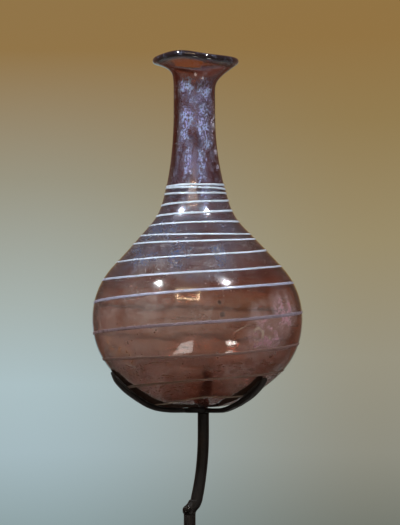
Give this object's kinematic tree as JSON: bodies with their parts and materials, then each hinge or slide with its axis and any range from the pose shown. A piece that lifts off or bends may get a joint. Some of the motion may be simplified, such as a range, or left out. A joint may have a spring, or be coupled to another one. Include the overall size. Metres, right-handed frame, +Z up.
{
  "type": "glass bottle",
  "caption": "Free-blown glass bottle with a round body, long flared neck and a spiral thread of white glass, resting in the padded arms of a slim metal display stand.",
  "frame": {"origin": "on the post's axis at the underside of the base felt", "axes": "+Z up along the post, +X to the right as the bottle is pictured, -Y towards the viewer"},
  "size_m": [0.0947, 0.0927, 0.242],
  "materials": {
    "purple_glass": "translucent aubergine brown, glossy, lightly weathered",
    "white_glass": "opaque white, satin, melted into the surface",
    "stand_metal": "satin brown-black patina",
    "suede": "dark brown suede",
    "dark_steel": "blackened",
    "felt": "black felt"
  },
  "bodies": {
    "stand": {"base_plate": "stand_metal", "base_felt": "felt", "fixing_screw": "dark_steel", "post": "stand_metal"},
    "cradle": {"stem": "stand_metal", "socket": "stand_metal", "hub": "stand_metal", "hub_pad": "suede", "arm_left": "stand_metal", "arm_right": "stand_metal", "arm_back": "stand_metal", "pad_left": "suede", "pad_right": "suede", "pad_back": "suede"},
    "bottle": {"glass_vessel": "purple_glass", "glass_thread": "white_glass"},
    "clamp_screw": {"clamp_screw": "dark_steel"}
  },
  "joints": [
    {"name": "stem_swivel", "type": "hinge", "parent": "stand", "child": "cradle", "pos_m": [0, 0, 0.043], "axis": [0, 0, 1], "continuous": true},
    {"name": "bottle_lift", "type": "slide", "parent": "cradle", "child": "bottle", "axis": [0, 0, 1], "range_m": [0, 0.06]},
    {"name": "clamp_screw_turn", "type": "hinge", "parent": "cradle", "child": "clamp_screw", "pos_m": [0, 0, 0.0432], "axis": [-0.309, -0.9511, 0], "range_deg": [0, 720]}
  ]
}
